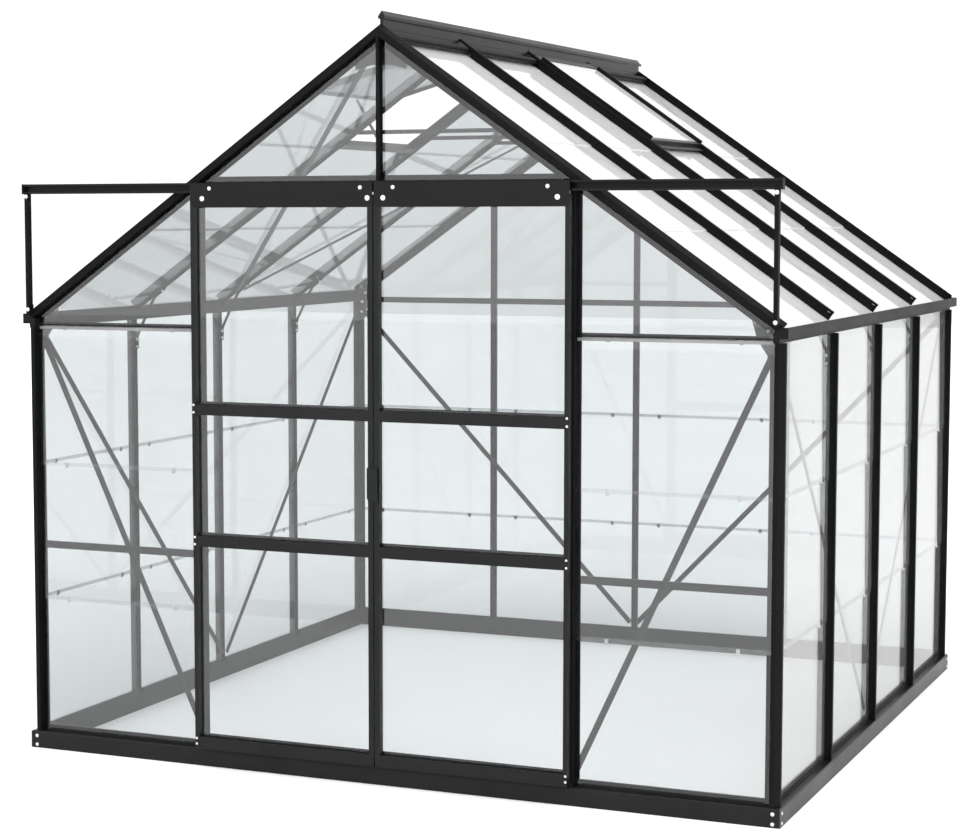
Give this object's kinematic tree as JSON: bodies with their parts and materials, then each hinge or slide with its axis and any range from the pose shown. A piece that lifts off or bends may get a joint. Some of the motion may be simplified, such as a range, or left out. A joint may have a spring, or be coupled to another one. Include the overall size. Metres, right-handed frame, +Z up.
{
  "type": "glass greenhouse",
  "caption": "Square glass greenhouse with a dark aluminium frame, pitched roof with gutters and hinged vents, and sliding doors in a gable end",
  "frame": {"origin": "bottom centre of the bounding box, on the ground", "axes": "+Z up, +X to the right seen from the doors, +Y from the door end to the back wall"},
  "size_m": [2.583, 2.613, 2.405],
  "materials": {
    "bar_black": "satin black capped bars",
    "rail_grey": "satin dark grey powder coat",
    "glass": "clear float glass"
  },
  "bodies": {
    "greenhouse": {"base_front": "rail_grey", "base_back": "rail_grey", "base_left": "rail_grey", "base_right": "rail_grey", "wall_sills": "rail_grey", "corner_posts_front": "bar_black", "corner_posts_back": "bar_black", "door_posts": "bar_black", "wall_bars_left": "bar_black", "wall_bars_right": "bar_black", "wall_bars_back": "bar_black", "gutter_left": "rail_grey", "gutter_right": "rail_grey", "rakes_front": "bar_black", "rakes_back": "bar_black", "roof_bars_left": "bar_black", "roof_bars_right": "bar_black", "roof_ties": "rail_grey", "ridge_cap": "rail_grey", "gable_mullion": "bar_black", "door_head_rail": "rail_grey", "front_rails": "rail_grey", "back_eave_rail": "rail_grey", "wall_braces_front": "rail_grey", "wall_braces_back": "rail_grey", "wall_braces_sides": "rail_grey", "roof_braces": "rail_grey", "eave_gussets": "rail_grey", "apex_gussets": "rail_grey", "door_track": "rail_grey", "track_drop_bars": "bar_black", "threshold_guide": "rail_grey", "vent_frame_left": "rail_grey", "vent_frame_right": "rail_grey", "vent_sills": "rail_grey", "vent_glass_left": "glass", "vent_glass_right": "glass", "vent_stays": "rail_grey", "glass_front": "glass", "glass_back": "glass", "glass_left": "glass", "glass_right": "glass", "glass_roof_left": "glass", "glass_roof_right": "glass"},
    "door_left": {"door_left_frame": "rail_grey", "door_left_glass": "glass", "door_left_hanger": "rail_grey", "door_pull": "rail_grey"},
    "door_right": {"door_right_frame": "rail_grey", "door_right_glass": "glass", "door_right_hanger": "rail_grey"}
  },
  "joints": [
    {"name": "door_left_slide", "type": "slide", "parent": "greenhouse", "child": "door_left", "axis": [-1, 0, 0], "range_m": [0, 0.6]},
    {"name": "door_right_slide", "type": "slide", "parent": "greenhouse", "child": "door_right", "axis": [1, 0, 0], "range_m": [0, 0.6]}
  ]
}
